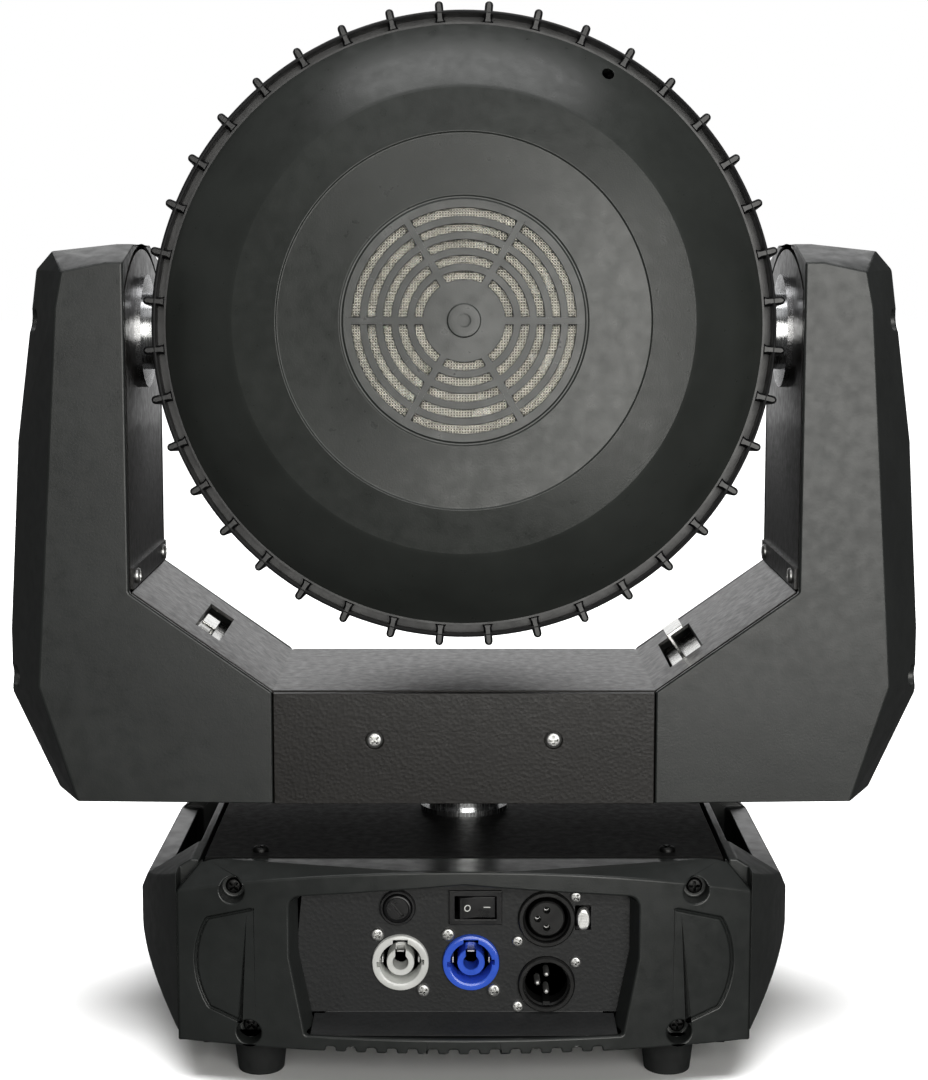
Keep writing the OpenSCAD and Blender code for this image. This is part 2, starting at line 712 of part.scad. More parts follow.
module cross_covers() color([0.17, 0.17, 0.16]) for (side = [0, 1]) mirror([0, side, 0])
    difference() {
        translate([-cross_x + 0.5, arm_y + 1.6, yoke_bottom])
            cube([2 * cross_x - 1, yoke_half_depth - arm_y - 1.6, cross_top - yoke_bottom - 0.5]);
        for (s = cross_screws) translate([s[0], 0, s[1]]) rotate([-90, 0, 0]) {
            cylinder(r = 1.95, h = 80);
            translate([0, 0, yoke_half_depth - 1.6]) cylinder(r = 3.9, h = 10);
        }
    }

module yoke_screws() color([0.35, 0.35, 0.35]) {
    for (s = cross_screws, side = [0, 1]) mirror([0, side, 0])
        translate([s[0], yoke_half_depth - 1.6, s[1]]) rotate([-90, 0, 0])
            screw(head_h = 1.8, length = 5);
    both_sides() {
        for (s = side_screws, y = [-28, 28]) translate([s[1], y, s[0]]) rotate([0, 90, 0])
            screw(length = 8);
        for (y = [-40, 40]) translate([arm_in_x - 1.4, y, 204.5]) rotate([0, -90, 0])
            screw(head_h = 1.4, length = 6);
    }
}

// ---------------------------------------------------------------- tilt drive

module tilt_bearings() color([0.7, 0.7, 0.72]) both_sides() along_x(arm_in_x - 2.4) difference() {
    union() {
        cylinder(r = tilt_bearing_r, h = 8);
        cylinder(r = tilt_bearing_r + 3, h = 2.4);
    }
    translate([0, 0, -1]) cylinder(r = tube_r + fit_gap, h = 20);
}

module trunnion_tubes() color([0.8, 0.8, 0.8]) both_sides() along_x(0) difference() {
    union() {
        translate([0, 0, 120]) cylinder(r = tube_r, h = 40);
        translate([0, 0, 119.5]) cylinder(r = 23, h = 2.5);
    }
    translate([0, 0, 110]) cylinder(r = tube_r - 3, h = 60);
}

module tilt_pulley() color([0.65, 0.65, 0.66]) along_x(-tilt_belt_x - 3.8)
    pulley(tilt_pulley_r, 8, 58, tube_r + fit_gap / 2);

// The tilt motor hangs from the arm plate on four spacers, turned so that they clear the belt
module tilt_motor() color([0.3, 0.3, 0.3])
    translate([-162, 0, tilt_motor_z]) rotate([0, -90, 0]) rotate([0, 0, 45]) {
        difference() {
            motor(25);
            translate([0, 0, -1]) cylinder(r = 3, h = 20);
        }
        for (x = [-1, 1], y = [-1, 1]) translate([x * 15.5, y * 15.5, arm_in_x + sheet - 162])
            cylinder(r = 3, h = 162 - arm_in_x - sheet, $fn = 24);
    }

module tilt_pinion() color([0.7, 0.7, 0.7])
    translate([-tilt_belt_x - 3.8, 0, tilt_motor_z]) rotate([0, 90, 0]) {
        pulley(tilt_pinion_r, 8, 16, 2.5, 1.4);
        translate([0, 0, -16]) cylinder(r = 2.5, h = 26);
    }

module tilt_belt() color([0.08, 0.08, 0.08])
    translate([-tilt_belt_x - 3.3, 0, tilt_z]) rotate([0, 90, 0])
        belt(tilt_pulley_r, tilt_pinion_r, tilt_z - tilt_motor_z, 7);

// ---------------------------------------------------------------- locks

// A thumb tab that stands up through a window in the sloping sheet, on a sliding foot
module lock_tab(x, stand, half) translate([x, 0, cross_top + (x - cross_x) * slope[1] / slope[0]])
    rotate([0, -slope_a, 0]) {
        translate([-10, -35, -6.4]) cube([19, 70, 1.5]);
        translate([-half, -10, -6.4]) cube([1.5, 20, 6.4 + stand]);
        translate([-half, -10, stand - 1.5]) cube([2 * half, 20, 1.5]);
    }

module tilt_lock_tab() color([0.9, 0.9, 0.88]) lock_tab(99.5, 9, 4.2);

module pan_lock_tab() color([0.55, 0.55, 0.53]) mirror([1, 0, 0]) lock_tab(114, -0.6, 3.4);

// ---------------------------------------------------------------- head

module head_ring() color([0.08, 0.08, 0.08]) head_place() difference() {
    union() {
        difference() {
            translate([0, 0, ring_front]) tube(ring_r, ring_in_r, ring_rear - ring_front);
            translate([0, 0, ring_rear - 9]) tube(ring_r - 1.5, cover_r + 0.7, 10);
        }
        translate([0, 0, sink_z - 4]) tube(ring_in_r + 1, 114, 4);
        translate([0, 0, lens_z]) tube(ring_in_r + 1, 120.5, 3);
        for (i = [0 : rib_count - 1]) rotate([0, 0, (i + 0.5) * 360 / rib_count])
            translate([cover_r + 0.5, -1.7, ring_rear - 26]) cube([rib_r - cover_r - 0.6, 3.4, 25]);
    }
    for (a = [0, 180]) rotate([0, 0, a]) rotate([0, 90, 0])
        translate([0, 0, 100]) cylinder(r = tube_r + fit_gap, h = 60);
}

// Outer section of the rear cover, t inside its skin: an arc from the rim up to the crease
function shoulder(t) = [for (i = [0 : shoulder_steps])
    let (a = rim_slope + (crease_slope - rim_slope) * i / shoulder_steps)
    [crease_r + shoulder_r * (sin(a) - sin(crease_slope)) - t * sin(a),
     crease_z + shoulder_r * (cos(a) - cos(crease_slope)) - t * cos(a)]];
// Shallow face from the crease to the axis, with a step
function face_line(t) = [[step_r + 0.5, face_z - 4.6 - t], [step_r, face_z - 5.4 - t],
    [grille_r, face_z - 1.6 - t], [0, face_z - t]];

module grille_slots() difference() {
    for (r = slot_radii) translate([0, 0, 60]) tube(r + slot_w / 2, r - slot_w / 2, 40);
    for (a = [0, 60, 120]) rotate([0, 0, a]) translate([-60, -rib_w / 2, 50]) cube([120, rib_w, 60]);
}

module rear_cover() color([0.22, 0.23, 0.22]) head_place() difference() {
    union() {
        rotate_extrude($fn = 128) polygon(concat(
            shoulder(0), face_line(0),
            [[0, face_z - cover_t], [grille_r, face_z - 1.6 - cover_t]],
            [[step_r, face_z - 5.4 - cover_t]],
            [for (i = [shoulder_steps : -1 : 1]) shoulder(cover_t)[i]],
            [[ring_in_r - 1, ring_rear]]
        ));
        translate([0, 0, 39]) tube(124.8, 122.3, 8);
        for (a = [45 : 90 : 315]) rotate([0, 0, a])
            translate([fan_w / 2 * sqrt(2) - 7, 0, fan_z1]) cylinder(r = 4, h = 9);
    }
    grille_slots();
    translate([0, 0, face_z - 2.2]) tube(grille_r + 0.4, grille_r - 0.4, 4);
    translate([0, 0, 60]) cylinder(r = 3.05, h = 40);
    rotate([0, 0, 60]) translate([121, 0, 40]) cylinder(r = 2.6, h = 40);
}

module fan_mesh() color([0.75, 0.75, 0.72]) head_place() translate([0, 0, face_z - cover_t - 2.6])
    difference() {
        cylinder(r = 49.5, h = 0.8);
        translate([0, 0, -1]) cylinder(r = 3.05, h = 4);
    }

module centre_cap() color([0.2, 0.21, 0.2]) head_place() {
    translate([0, 0, face_z]) cylinder(r = 7, h = 1.6);
    translate([0, 0, face_z - 5.5]) cylinder(r = 3, h = 6);
}

module fan_frame() color([0.05, 0.05, 0.05]) head_place() difference() {
    translate([-fan_w / 2, -fan_w / 2, fan_z0]) cube([fan_w, fan_w, fan_z1 - fan_z0]);
    translate([0, 0, fan_z0 + 2.5]) cylinder(r = fan_r, h = 40);
    difference() {
        translate([0, 0, fan_z0 - 5]) cylinder(r = fan_r, h = 20);
        translate([0, 0, fan_z0 - 6]) cylinder(r = fan_hub_r, h = 30);
        for (a = [20, 110, 200, 290]) rotate([0, 0, a])
            translate([0, -2, fan_z0 - 6]) cube([60, 4, 30]);
    }
    for (a = [45 : 90 : 315]) rotate([0, 0, a])
        translate([fan_w / 2 * sqrt(2) - 7, 0, 0]) cylinder(r = 2, h = 100, $fn = 32);
}

module fan_rotor() color([0.08, 0.08, 0.08]) head_place() translate([0, 0, fan_z0 + 3.5]) {
    cylinder(r = fan_hub_r + 0.5, h = 20);
    intersection() {
        cylinder(r = fan_r - 2, h = 20);
        for (i = [0 : 6]) rotate([0, 0, i * 360 / 7]) translate([0, 0, 10]) rotate([38, 0, 0])
            translate([14, -15, -0.8]) cube([34, 30, 1.6]);
    }
}

module heat_sink() color([0.75, 0.76, 0.77]) head_place() {
    translate([0, 0, sink_z]) cylinder(r = sink_r, h = 5);
    intersection() {
        translate([0, 0, sink_z]) cylinder(r = sink_r - 1, h = 70);
        for (i = [-12 : 12]) translate([i * 9 - 0.9, -120, sink_z + 4]) cube([1.8, 240, 62]);
    }
}

// Lens places: the middle one and hexagonal rings round it
function hex_spots(n) = concat([[0, 0]], [for (k = [1 : n], side = [0 : 5], j = [0 : k - 1])
    let (a = side * 60, b = a + 120)
    [lens_pitch * (k * cos(a) + j * cos(b)), lens_pitch * (k * sin(a) + j * sin(b))]]);

module led_board() color([0.9, 0.9, 0.88]) head_place() {
    translate([0, 0, sink_z - 1.6]) cylinder(r = sink_r - 5, h = 1.6);
    for (p = hex_spots(lens_rings)) translate([p[0] - 3, p[1] - 3, sink_z - 3]) cube([6, 6, 1.5]);
}

module lens_plate() color([0.06, 0.06, 0.06]) head_place() difference() {
    translate([0, 0, lens_z - 3]) cylinder(r = 124.6, h = 3);
    for (p = hex_spots(lens_rings)) translate([p[0], p[1], lens_z - 5]) cylinder(r = 14.6, h = 10);
}

module lenses() color([0.8, 0.85, 0.9]) head_place()
    for (p = hex_spots(lens_rings)) translate([p[0], p[1], 0]) rotate_extrude($fn = 32) polygon([
        [0, sink_z - 4], [6, sink_z - 4], [14.2, lens_z + 1], [16, lens_z + 1], [16, lens_z + 0.1],
        [14.5, lens_z + 0.1], [14.5, lens_z - 4], [12, lens_z - 6.4], [8, lens_z - 8], [4, lens_z - 8.8],
        [0, lens_z - 9]
    ]);

module front_ring() color([0.1, 0.1, 0.1]) head_place() rotate_extrude($fn = 128) polygon([
    [118, -62], [132, -62], [ring_r, -61], [ring_r, ring_front], [124.8, ring_front],
    [124.8, lens_z - 3], [122, lens_z - 3], [121, -59]
]);

base_chassis();
base_top_plate();
rear_bezel();
front_bezel();
handle_left();
handle_right();
rubber_feet();
connector_panel();
power_in_socket();
power_out_socket();
data_in_socket();
data_out_socket();
data_latch();
fuse_holder();
fuse_cap();
switch_housing();
switch_rocker();
display_module();
menu_button_1();
menu_button_2();
menu_button_3();
menu_button_4();
power_supply();
main_board();
pan_tube();
pan_pulley();
safety_eye();
base_screws();
panel_screws();
yoke_floor_plate();
yoke_top_sheet();
arm_plate_left();
arm_plate_right();
arm_cover_left();
arm_cover_right();
cross_covers();
pan_bearing();
tilt_bearings();
pan_motor();
pan_pinion();
pan_belt();
tilt_motor();
tilt_pinion();
tilt_belt();
tilt_lock_tab();
pan_lock_tab();
yoke_screws();
head_ring();
rear_cover();
fan_mesh();
centre_cap();
fan_frame();
fan_rotor();
heat_sink();
led_board();
lens_plate();
lenses();
front_ring();
trunnion_tubes();
tilt_pulley();
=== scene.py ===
"""Moving head wash light: studio scene, materials and detailed pieces round the CAD frame."""
import json
import math
from math import cos, pi, radians, sin

import bmesh
import bpy
from mathutils import Matrix, Vector


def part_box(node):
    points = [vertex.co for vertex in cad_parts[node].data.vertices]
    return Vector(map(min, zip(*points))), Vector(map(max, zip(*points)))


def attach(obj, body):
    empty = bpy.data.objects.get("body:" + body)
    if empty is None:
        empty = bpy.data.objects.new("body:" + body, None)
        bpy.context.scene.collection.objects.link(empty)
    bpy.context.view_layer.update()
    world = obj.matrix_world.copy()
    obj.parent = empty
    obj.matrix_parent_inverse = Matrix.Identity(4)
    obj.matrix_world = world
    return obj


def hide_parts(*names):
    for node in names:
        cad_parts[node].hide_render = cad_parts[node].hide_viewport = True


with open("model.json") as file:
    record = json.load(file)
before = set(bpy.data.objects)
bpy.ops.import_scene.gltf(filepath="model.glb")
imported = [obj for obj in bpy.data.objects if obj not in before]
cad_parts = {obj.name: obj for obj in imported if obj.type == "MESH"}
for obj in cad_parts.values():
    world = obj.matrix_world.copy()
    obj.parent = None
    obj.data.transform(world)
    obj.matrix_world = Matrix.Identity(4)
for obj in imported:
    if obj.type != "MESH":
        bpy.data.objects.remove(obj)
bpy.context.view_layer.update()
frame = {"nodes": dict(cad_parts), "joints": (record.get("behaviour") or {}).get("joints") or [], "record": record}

RECORD = frame["record"]
MM = 0.001
JOINTS = {j["name"]: j for j in frame["joints"]}
MOUNTS = {m["name"]: m for m in RECORD["mounts"]}
COLOURS = {m["slot"]: m["base_color"] for m in RECORD["materials"]}
NODE_SLOT = {s["node"]: s["material_slot"] for s in RECORD["subparts"]}


# ------------------------------------------------------------------ camera and light

CAMERA_SPOT = (0.0, -0.95, 0.335)
CAMERA_DIP = 7.2
MIDDLE = (0.0, 0.0, 0.22)


def add_camera():
    data = bpy.data.cameras.new("camera")
    data.sensor_width = 36.0
    data.lens = 70.7
    data.clip_start = 0.01
    camera = bpy.data.objects.new("camera", data)
    bpy.context.scene.collection.objects.link(camera)
    camera.location = CAMERA_SPOT
    camera.rotation_euler = (radians(90 - CAMERA_DIP), 0.0, 0.0)
    bpy.context.scene.camera = camera


def add_area(name, spot, target, size, power, colour=(1.0, 1.0, 1.0)):
    data = bpy.data.lights.new(name, "AREA")
    data.shape = "RECTANGLE"
    data.size, data.size_y = size
    data.energy = power
    data.color = colour
    light = bpy.data.objects.new(name, data)
    bpy.context.scene.collection.objects.link(light)
    light.location = spot
    light.rotation_euler = (Vector(target) - Vector(spot)).to_track_quat("-Z", "Y").to_euler()


def add_world():
    """White behind the object, and a faint even light on it."""
    world = bpy.data.worlds.new("studio")
    world.use_nodes = True
    tree = world.node_tree
    room = tree.nodes["Background"]
    room.inputs["Color"].default_value = (1.0, 1.0, 1.0, 1.0)
    room.inputs["Strength"].default_value = 0.06
    paper = tree.nodes.new("ShaderNodeBackground")
    paper.inputs["Color"].default_value = (1.0, 1.0, 1.0, 1.0)
    mix = tree.nodes.new("ShaderNodeMixShader")
    path = tree.nodes.new("ShaderNodeLightPath")
    tree.links.new(path.outputs["Is Camera Ray"], mix.inputs["Fac"])
    tree.links.new(room.outputs["Background"], mix.inputs[1])
    tree.links.new(paper.outputs["Background"], mix.inputs[2])
    tree.links.new(mix.outputs["Shader"], tree.nodes["World Output"].inputs["Surface"])
    bpy.context.scene.world = world


def add_floor():
    """Pale paper floor that throws no light back on the object."""
    me = bpy.data.meshes.new("floor")
    bm = bmesh.new()
    bmesh.ops.create_circle(bm, cap_ends=True, radius=14.0, segments=96)
    bm.to_mesh(me)
    bm.free()
    floor = bpy.data.objects.new("floor", me)
    floor.visible_diffuse = False
    floor.visible_glossy = False
    bpy.context.scene.collection.objects.link(floor)
    mat = bpy.data.materials.new("floor_paper")
    mat.use_nodes = True
    bsdf = mat.node_tree.nodes["Principled BSDF"]
    bsdf.inputs["Base Color"].default_value = (0.93, 0.93, 0.93, 1.0)
    bsdf.inputs["Roughness"].default_value = 0.9
    me.materials.append(mat)
    return floor


def add_floor_light(floor):
    """A soft sun from above that lights the floor alone, so the object shadows it softly."""
    data = bpy.data.lights.new("floor_light", "SUN")
    data.energy = 5.3
    data.angle = 0.9
    light = bpy.data.objects.new("floor_light", data)
    bpy.context.scene.collection.objects.link(light)
    floor_only = bpy.data.collections.new("floor_only")
    floor_only.objects.link(floor)
    light.light_linking.receiver_collection = floor_only


def add_studio():
    bpy.context.scene.view_settings.view_transform = "Standard"
    add_world()
    add_area("key_front", (0.32, -1.6, 0.45), MIDDLE, (1.2, 1.2), 22.5, (1.0, 0.99, 0.95))
    add_area("over_front", (0.0, -0.9, 1.6), MIDDLE, (1.6, 0.7), 2.5)
    add_area("overhead", (0.0, -0.1, 1.75), MIDDLE, (1.4, 0.6), 8.0)
    add_area("backdrop", (0.0, 2.0, 0.9), (0.0, 0.0, 0.5), (1.7, 1.6), 8.5)
    add_floor_light(add_floor())


# ------------------------------------------------------------------ materials

class Surface:
    """A procedural material: one shader, with bump, tint and roughness layers in object space."""

    def __init__(self, name, colour, rough, metal=0.0, spec=0.5, coat=0.0):
        self.mat = bpy.data.materials.new(name)
        self.mat.use_nodes = True
        self.nodes = self.mat.node_tree.nodes
        self.links = self.mat.node_tree.links
        self.bsdf = self.nodes["Principled BSDF"]
        self.colour = tuple(colour[:3])
        self.rough = rough
        self.bsdf.inputs["Base Color"].default_value = (*self.colour, 1.0)
        self.bsdf.inputs["Roughness"].default_value = rough
        self.bsdf.inputs["Metallic"].default_value = metal
        self.bsdf.inputs["Specular IOR Level"].default_value = spec
        self.bsdf.inputs["Coat Weight"].default_value = coat
        self.bsdf.inputs["Coat Roughness"].default_value = 0.12
        self.place = self.nodes.new("ShaderNodeTexCoord").outputs["Object"]
        self.normal = None

    def stretched(self, scale):
        """Object coordinates scaled per axis, for brushed or layered textures."""
        node = self.nodes.new("ShaderNodeMapping")
        node.inputs["Scale"].default_value = scale
        self.links.new(self.place, node.inputs["Vector"])
        return node.outputs["Vector"]

    def noise(self, size, detail=3.0, place=None):
        node = self.nodes.new("ShaderNodeTexNoise")
        node.inputs["Scale"].default_value = 1.0 / size
        node.inputs["Detail"].default_value = detail
        self.links.new(place or self.place, node.inputs["Vector"])
        return node.outputs["Fac"]

    def cells(self, size):
        node = self.nodes.new("ShaderNodeTexVoronoi")
        node.inputs["Scale"].default_value = 1.0 / size
        self.links.new(self.place, node.inputs["Vector"])
        return node.outputs["Distance"]

    def bump(self, height, depth):
        node = self.nodes.new("ShaderNodeBump")
        node.inputs["Distance"].default_value = depth
        node.inputs["Strength"].default_value = 1.0
        self.links.new(height, node.inputs["Height"])
        if self.normal is not None:
            self.links.new(self.normal, node.inputs["Normal"])
        self.normal = node.outputs["Normal"]
        self.links.new(self.normal, self.bsdf.inputs["Normal"])
        return self

    def tint(self, fac, low, high):
        """Base colour runs from low times to high times the slot's colour as fac goes 0.3 to 0.7."""
        ramp = self.nodes.new("ShaderNodeValToRGB")
        ramp.color_ramp.elements[0].position = 0.3
        ramp.color_ramp.elements[1].position = 0.7
        for element, gain in zip(ramp.color_ramp.elements, (low, high)):
            element.color = (*[min(1.0, c * gain) for c in self.colour], 1.0)
        self.links.new(fac, ramp.inputs["Fac"])
        self.links.new(ramp.outputs["Color"], self.bsdf.inputs["Base Color"])
        return self

    def vary_rough(self, fac, spread):
        node = self.nodes.new("ShaderNodeMapRange")
        node.inputs["From Min"].default_value = 0.3
        node.inputs["From Max"].default_value = 0.7
        node.inputs["To Min"].default_value = max(0.03, self.rough - spread)
        node.inputs["To Max"].default_value = min(1.0, self.rough + spread)
        self.links.new(fac, node.inputs["Value"])
        self.links.new(node.outputs["Result"], self.bsdf.inputs["Roughness"])
        return self


def moulded(slot, rough=0.5, grain=0.0007, depth=0.00003, spec=0.5):
    """Spark-eroded grain of a moulded shell, with slow changes of tone."""
    s = Surface(slot, COLOURS[slot], rough, spec=spec)
    s.bump(s.noise(grain, 2.0), depth).bump(s.noise(0.012, 2.0), 0.00006)
    s.tint(s.noise(0.03, 4.0), 0.7, 0.95).vary_rough(s.noise(0.006, 5.0), 0.06)
    return s


def powder_coat(slot, rough=0.36, spec=0.5, coat=0.25, tone=0.72):
    """Orange peel and fine specks of a baked coat on steel."""
    s = Surface(slot, COLOURS[slot], rough, spec=spec, coat=coat)
    s.bump(s.cells(0.0016), 0.00005).bump(s.noise(0.0005, 2.0), 0.00002)
    s.tint(s.noise(0.02, 5.0), 0.85 * tone, 1.15 * tone).vary_rough(s.noise(0.004, 4.0), 0.07)
    return s


def gloss(slot, rough=0.2, coat=0.4):
    s = Surface(slot, COLOURS[slot], rough, coat=coat)
    s.bump(s.noise(0.004, 2.0), 0.00004)
    s.tint(s.noise(0.006, 3.0), 0.92, 1.08).vary_rough(s.noise(0.003, 4.0), 0.05)
    return s


def rubber(slot):
    s = Surface(slot, COLOURS[slot], 0.75, spec=0.3)
    s.bump(s.noise(0.0004, 3.0), 0.00006).bump(s.noise(0.003, 3.0), 0.00008)
    s.tint(s.noise(0.004, 5.0), 0.8, 1.25).vary_rough(s.noise(0.002), 0.08)
    return s


def metal(slot, rough=0.3, stretch=(1.0, 1.0, 1.0), size=0.0006, depth=0.00001):
    """Bare or plated metal with lines that run across the stretched axes."""
    s = Surface(slot, COLOURS[slot], rough, metal=1.0)
    lines = s.noise(size, 3.0, s.stretched(stretch))
    s.bump(lines, depth).tint(s.noise(0.005, 4.0), 0.85, 1.08).vary_rough(lines, 0.1)
    return s


def turned(slot, rough=0.22):
    """Fine lathe rings round the X axis."""
    return metal(slot, rough, (1.0, 0.02, 0.02), 0.0003, 0.000015)


def clear(slot, rough=0.03):
    s = Surface(slot, COLOURS[slot], rough)
    s.bsdf.inputs["Transmission Weight"].default_value = 0.95
    s.bsdf.inputs["IOR"].default_value = 1.49
    s.bump(s.noise(0.002, 2.0), 0.000008)
    return s


def circuit(slot):
    """Green solder mask with copper tracks showing through as lighter lines."""
    s = Surface(slot, COLOURS[slot], 0.3, coat=0.3)
    s.tint(s.cells(0.004), 0.7, 1.5).bump(s.cells(0.004), 0.00003)
    s.vary_rough(s.noise(0.002), 0.08)
    return s


MAKERS = {
    "cover_plastic": lambda n: moulded(n, 0.34),
    "head_plastic": lambda n: moulded(n, 0.33),
    "ring_plastic": lambda n: moulded(n, 0.36),
    "frame_sheet": lambda n: powder_coat(n, 0.36, 0.35, 0.12, 0.45),
    "base_sheet": lambda n: powder_coat(n, 0.55, 0.1, 0.0),
    "panel_sheet": lambda n: powder_coat(n, 0.5, 0.5, 0.0),
    "foot_rubber": rubber,
    "belt_rubber": rubber,
    "blue_plastic": gloss,
    "white_plastic": gloss,
    "socket_plastic": lambda n: moulded(n, 0.35, 0.0005, 0.00001),
    "switch_plastic": lambda n: moulded(n, 0.32, 0.0005, 0.00001),
    "latch_steel": lambda n: metal(n, 0.45),
    "lock_steel": lambda n: metal(n, 0.22, (0.1, 1.0, 0.1)),
    "turned_aluminium": turned,
    "cast_aluminium": lambda n: metal(n, 0.4),
    "bearing_steel": lambda n: metal(n, 0.25),
    "plated_screw": lambda n: metal(n, 0.42),
    "black_screw": lambda n: metal(n, 0.42),
    "wire_mesh": lambda n: metal(n, 0.25),
    "motor_metal": lambda n: metal(n, 0.4, (1.0, 1.0, 0.1)),
    "can_steel": lambda n: metal(n, 0.35, (0.15, 1.0, 1.0)),
    "circuit_board": circuit,
    "led_white": gloss,
    "fan_plastic": lambda n: moulded(n, 0.4),
    "lens_acrylic": clear,
    "display_glass": lambda n: gloss(n, 0.08, 0.8),
    "button_plastic": lambda n: moulded(n, 0.45),
}


def make_materials():
    return {slot: MAKERS[slot](slot).mat for slot in COLOURS}


# Edge radii of the CAD nodes that stay, in millimetres
EDGE = {
    "rear_bezel": 0.9, "front_bezel": 0.9, "handle_left": 0.9, "handle_right": 0.9,
    "arm_cover_left": 0.9, "arm_cover_right": 0.9, "cross_covers": 0.35, "yoke_top_sheet": 0.3,
    "base_top_plate": 0.35, "connector_panel": 0.2, "rubber_feet": 0.7, "tilt_lock_tab": 0.35,
    "pan_lock_tab": 0.35, "switch_housing": 0.3, "fuse_holder": 0.3, "front_ring": 0.4,
}


# Shells whose open side a dissolve would close
OPEN_SHELLS = ("arm_cover_left", "arm_cover_right")


def join_faces(obj):
    """Joins the split faces of a CAD node and clears its flat seams."""
    weld = obj.modifiers.new("weld", "WELD")
    weld.merge_threshold = 0.00002
    if obj.name in OPEN_SHELLS:
        return
    flat = obj.modifiers.new("flat", "DECIMATE")
    flat.decimate_type = "DISSOLVE"
    flat.angle_limit = radians(0.4)


def soften(obj, width):
    """Rounds an object's edges."""
    bevel = obj.modifiers.new("bevel", "BEVEL")
    bevel.width = width * MM
    bevel.segments = 3
    bevel.limit_method = "ANGLE"
    bevel.angle_limit = radians(28)
    bevel.harden_normals = True
    bevel.use_clamp_overlap = False
    bevel.miter_outer = "MITER_ARC"


def dress_cad_nodes(materials):
    for name, node in frame["nodes"].items():
        node.data.materials.clear()
        node.data.materials.append(materials[NODE_SLOT[name]])
        if name in EDGE:
            attributes = node.data.attributes
            for extra in ("custom_normal", "sharp_edge", "sharp_face"):
                if extra in attributes:
                    attributes.remove(attributes[extra])
            node.data.shade_smooth()
            join_faces(node)
            soften(node, EDGE[name])


# ------------------------------------------------------------------ mesh tools, in millimetres

def turn(axis, degrees):
    return Matrix.Rotation(radians(degrees), 4, axis)


def move(x, y, z):
    return Matrix.Translation((x, y, z))


def lathe(profile, segments=64, closed=False):
    """Revolves (radius, height) points round Z. An open profile starts and ends on the axis."""
    bm = bmesh.new()
    rings = []
    for radius, height in profile:
        if radius < 1e-6:
            rings.append([bm.verts.new((0.0, 0.0, height))])
        else:
            rings.append([bm.verts.new((radius * cos(2 * pi * k / segments),
                                        radius * sin(2 * pi * k / segments), height))
                          for k in range(segments)])
    pairs = list(zip(rings, rings[1:])) + ([(rings[-1], rings[0])] if closed else [])
    for a, b in pairs:
        for k in range(segments):
            n = (k + 1) % segments
            if len(a) == len(b) == 1:
                continue
            if len(a) == 1:
                bm.faces.new((a[0], b[k], b[n]))
            elif len(b) == 1:
                bm.faces.new((a[n], a[k], b[0]))
            else:
                bm.faces.new((a[k], b[k], b[n], a[n]))
    bmesh.ops.recalc_face_normals(bm, faces=bm.faces)
    return bm


def prism(outline, low, high, top_scale=1.0):
    """Extrudes an outline along Z, its top drawn in by top_scale."""
    bm = bmesh.new()
    bottom = [bm.verts.new((x, y, low)) for x, y in outline]
    top = [bm.verts.new((x * top_scale, y * top_scale, high)) for x, y in outline]
    bm.faces.new(bottom[::-1])
    bm.faces.new(top)
    for k in range(len(outline)):
        n = (k + 1) % len(outline)
        bm.faces.new((bottom[k], bottom[n], top[n], top[k]))
    bmesh.ops.recalc_face_normals(bm, faces=bm.faces)
    return bm


def box_mesh(x0, x1, y0, y1, z0, z1):
    return prism([(x0, y0), (x1, y0), (x1, y1), (x0, y1)], z0, z1)


def moved(bm, matrix):
    bm.transform(matrix)
    return bm


def joined(*parts):
    """One mesh from several closed ones."""
    out = bmesh.new()
    for bm in parts:
        me = bpy.data.meshes.new("part")
        bm.to_mesh(me)
        bm.free()
        out.from_mesh(me)
        bpy.data.meshes.remove(me)
    return out


def copied(bm, matrices):
    """The same mesh at several places."""
    me = bpy.data.meshes.new("part")
    bm.to_mesh(me)
    bm.free()
    out = bmesh.new()
    for matrix in matrices:
        placed = me.copy()
        placed.transform(matrix)
        out.from_mesh(placed)
        bpy.data.meshes.remove(placed)
    bpy.data.meshes.remove(me)
    return out


def combine(base, tools):
    """One mesh with others cut out of it, exactly."""
    temps = []
    for bm in (base, *tools):
        me = bpy.data.meshes.new("temp")
        bm.to_mesh(me)
        bm.free()
        obj = bpy.data.objects.new("temp", me)
        bpy.context.scene.collection.objects.link(obj)
        temps.append(obj)
    for tool in temps[1:]:
        step = temps[0].modifiers.new("cut", "BOOLEAN")
        step.solver = "EXACT"
        step.operation = "DIFFERENCE"
        step.object = tool
    graph = bpy.context.evaluated_depsgraph_get()
    result = bpy.data.meshes.new_from_object(temps[0].evaluated_get(graph))
    out = bmesh.new()
    out.from_mesh(result)
    bpy.data.meshes.remove(result)
    for obj in temps:
        me = obj.data
        bpy.data.objects.remove(obj)
        bpy.data.meshes.remove(me)
    return out


def piece(name, bm, slot, body, place=Matrix.Identity(4), nodes=(), edge=0.0, sharp=35):
    """Finishes a mesh drawn in millimetres as a named piece that rides on a body."""
    me = bpy.data.meshes.new(name)
    bmesh.ops.recalc_face_normals(bm, faces=bm.faces)
    bm.to_mesh(me)
    bm.free()
    me.transform(place @ Matrix.Scale(MM, 4))
    me.shade_smooth()
    me.set_sharp_from_angle(angle=radians(sharp))
    me.materials.append(MATERIALS[slot])
    obj = bpy.data.objects.new(name, me)
    bpy.context.scene.collection.objects.link(obj)
    if edge:
        soften(obj, edge)
    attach(obj, body)
    if nodes:
        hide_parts(*nodes)
    return obj


def facing(spot, direction):
    """Place of a piece drawn along Z, standing at a spot in metres and looking along direction."""
    return Matrix.Translation(spot) @ Vector(direction).to_track_quat("Z", "Y").to_matrix().to_4x4()


def rear_face(spot):
    """Drawing plane on the connector side: X right, Y up, Z towards the viewer."""
    return Matrix.Translation(spot) @ turn("X", 90)


